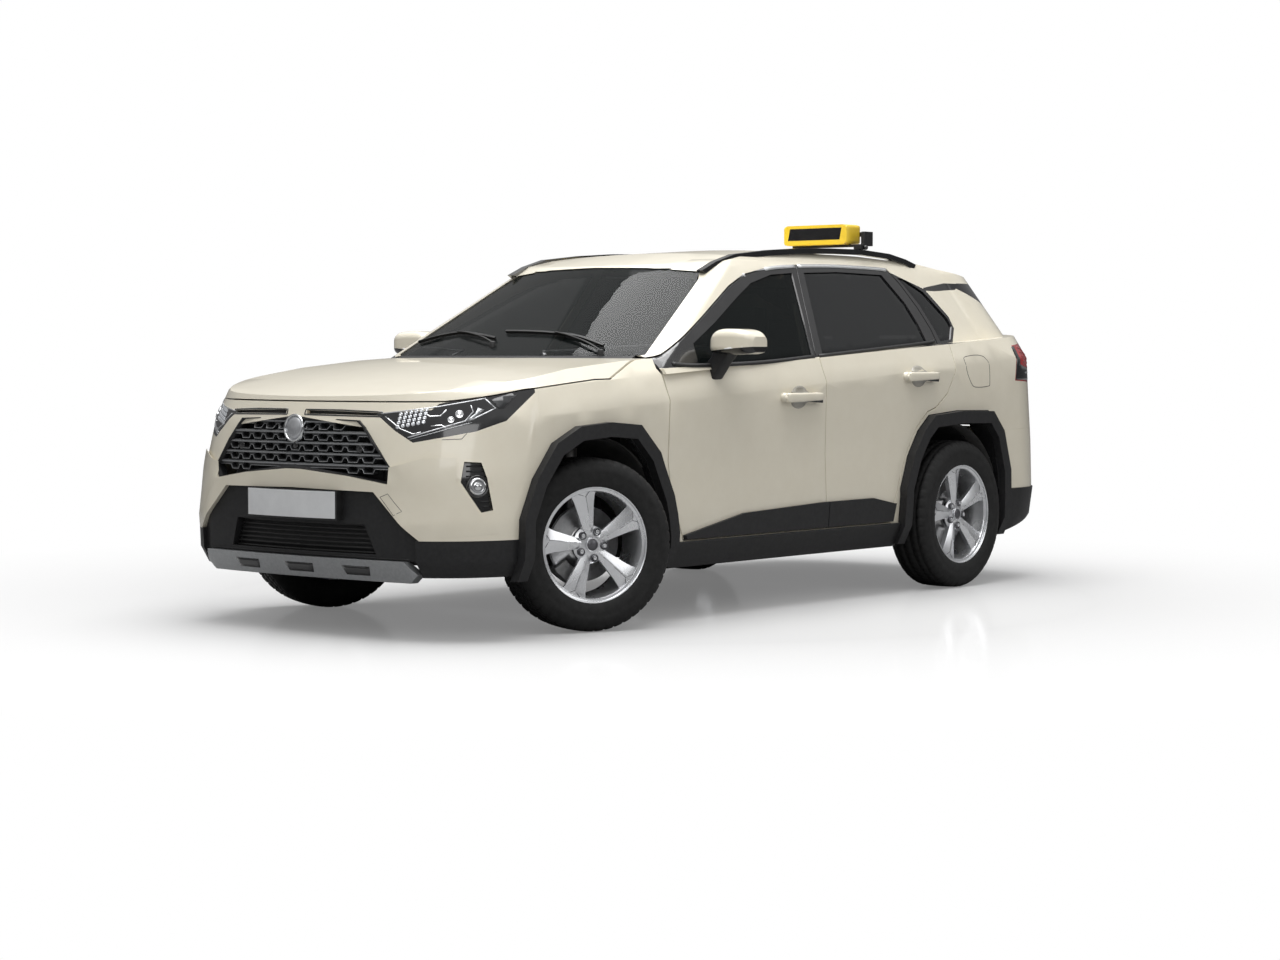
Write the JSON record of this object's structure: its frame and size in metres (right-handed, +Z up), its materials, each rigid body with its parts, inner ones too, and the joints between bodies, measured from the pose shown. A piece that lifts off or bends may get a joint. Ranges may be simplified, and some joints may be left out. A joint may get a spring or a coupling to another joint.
{
  "type": "taxi cab",
  "caption": "Compact sport utility taxi with opening doors, bonnet and tailgate, steered front wheels and a lit roof sign on a rail bracket.",
  "frame": {"origin": "On the ground under the middle of the box around the car.", "axes": "+Z up, nose towards -Y, the car's left side towards +X."},
  "size_m": [2.192, 4.604, 1.786],
  "materials": {
    "paint": "pearl ivory gloss",
    "tinted_glass": "dark tint",
    "black_plastic": "grained black",
    "grille_plastic": "dark grey gloss",
    "silver_trim": "silver paint",
    "lamp_cover": "dark lamp housing under clear cover",
    "red_lamp": "red lens",
    "yellow_plastic": "yellow lit plastic",
    "cloth": "black cloth",
    "underbody": "underseal",
    "steel": "dull steel",
    "casting": "cast",
    "leather_black": "smooth black",
    "tyre": "rubber",
    "alloy": "bright machined alloy"
  },
  "bodies": {
    "chassis": {"arch_cladding": "black_plastic", "body_side_left": "paint", "body_side_right": "paint", "cowl_panel": "black_plastic", "dashboard": "black_plastic", "engine_block": "casting", "exhaust": "steel", "fender_left": "paint", "fender_right": "paint", "floor_pan": "underbody", "fog_lamps": "lamp_cover", "front_bumper": "paint", "front_fascia": "black_plastic", "front_seats": "cloth", "front_suspension": "steel", "fuel_tank": "black_plastic", "grille": "grille_plastic", "headlamps": "lamp_cover", "quarter_glass": "tinted_glass", "rear_bench": "cloth", "rear_bumper": "paint", "rear_fascia": "black_plastic", "rear_suspension": "steel", "roof_panel": "paint", "roof_rails": "black_plastic", "roof_sign": "yellow_plastic", "sign_bracket": "black_plastic", "sill_cladding": "black_plastic", "skid_plate": "silver_trim", "tail_lamps": "red_lamp", "wheel_housings": "black_plastic", "windscreen": "tinted_glass"},
    "bonnet": {"bonnet": "paint"},
    "tailgate": {"tailgate": "paint", "rear_glass": "tinted_glass"},
    "steering_wheel": {"steering_wheel": "leather_black"},
    "knuckle_left": {"knuckle_left": "steel"},
    "knuckle_right": {"knuckle_right": "steel"},
    "door_front_left": {"door_front_left": "paint", "door_front_glass_left": "tinted_glass", "door_front_cladding_left": "black_plastic", "mirror_left": "paint"},
    "door_rear_left": {"door_rear_left": "paint", "door_rear_glass_left": "tinted_glass", "door_rear_cladding_left": "black_plastic"},
    "door_front_right": {"door_front_right": "paint", "door_front_glass_right": "tinted_glass", "door_front_cladding_right": "black_plastic", "mirror_right": "paint"},
    "door_rear_right": {"door_rear_right": "paint", "door_rear_glass_right": "tinted_glass", "door_rear_cladding_right": "black_plastic"},
    "wheel_front_left": {"tyre_front_left": "tyre", "rim_front_left": "alloy"},
    "wheel_front_right": {"tyre_front_right": "tyre", "rim_front_right": "alloy"},
    "wheel_rear_left": {"tyre_rear_left": "tyre", "rim_rear_left": "alloy"},
    "wheel_rear_right": {"tyre_rear_right": "tyre", "rim_rear_right": "alloy"}
  },
  "joints": [
    {"name": "bonnet_hinge", "type": "hinge", "parent": "chassis", "child": "bonnet", "pos_m": [0, -0.958, 1.153], "axis": [-1, 0, 0], "range_deg": [0, 55]},
    {"name": "tailgate_hinge", "type": "hinge", "parent": "chassis", "child": "tailgate", "pos_m": [0, 1.6, 1.612], "axis": [1, 0, 0], "range_deg": [0, 75]},
    {"name": "door_front_left_hinge", "type": "hinge", "parent": "chassis", "child": "door_front_left", "pos_m": [0.898, -0.9435, 0.75], "axis": [0, 0, -1], "range_deg": [0, 65]},
    {"name": "door_rear_left_hinge", "type": "hinge", "parent": "chassis", "child": "door_rear_left", "pos_m": [0.898, 0.2015, 0.75], "axis": [0, 0, -1], "range_deg": [0, 65]},
    {"name": "door_front_right_hinge", "type": "hinge", "parent": "chassis", "child": "door_front_right", "pos_m": [-0.898, -0.9435, 0.75], "axis": [0, 0, 1], "range_deg": [0, 65]},
    {"name": "door_rear_right_hinge", "type": "hinge", "parent": "chassis", "child": "door_rear_right", "pos_m": [-0.898, 0.2015, 0.75], "axis": [0, 0, 1], "range_deg": [0, 65]},
    {"name": "steer_left", "type": "hinge", "parent": "chassis", "child": "knuckle_left", "pos_m": [0.7575, -1.375, 0.3635], "axis": [0, 0, 1], "range_deg": [-13, 57]},
    {"name": "steer_right", "type": "hinge", "parent": "chassis", "child": "knuckle_right", "pos_m": [-0.7575, -1.375, 0.3635], "axis": [0, 0, 1], "range_deg": [-13, 57]},
    {"name": "steering_column", "type": "hinge", "parent": "chassis", "child": "steering_wheel", "pos_m": [0.37, -0.46, 0.95], "axis": [0, 0.9063, 0.4226], "range_deg": [-180, 780]},
    {"name": "wheel_front_left_spin", "type": "hinge", "parent": "knuckle_left", "child": "wheel_front_left", "pos_m": [0.79913, -1.39208, 0.3635], "axis": [0.9252, -0.3795, 0], "continuous": true},
    {"name": "wheel_front_right_spin", "type": "hinge", "parent": "knuckle_right", "child": "wheel_front_right", "pos_m": [-0.79913, -1.35792, 0.3635], "axis": [0.9252, -0.3795, 0], "continuous": true},
    {"name": "wheel_rear_left_spin", "type": "hinge", "parent": "chassis", "child": "wheel_rear_left", "pos_m": [0.8125, 1.315, 0.3635], "axis": [1, 0, 0], "continuous": true},
    {"name": "wheel_rear_right_spin", "type": "hinge", "parent": "chassis", "child": "wheel_rear_right", "pos_m": [-0.8125, 1.315, 0.3635], "axis": [1, 0, 0], "continuous": true}
  ],
  "couplings": [
    {"joint": "steer_right", "follows": "steer_left", "ratio": 1},
    {"joint": "steering_column", "follows": "steer_left", "ratio": 13.6}
  ]
}
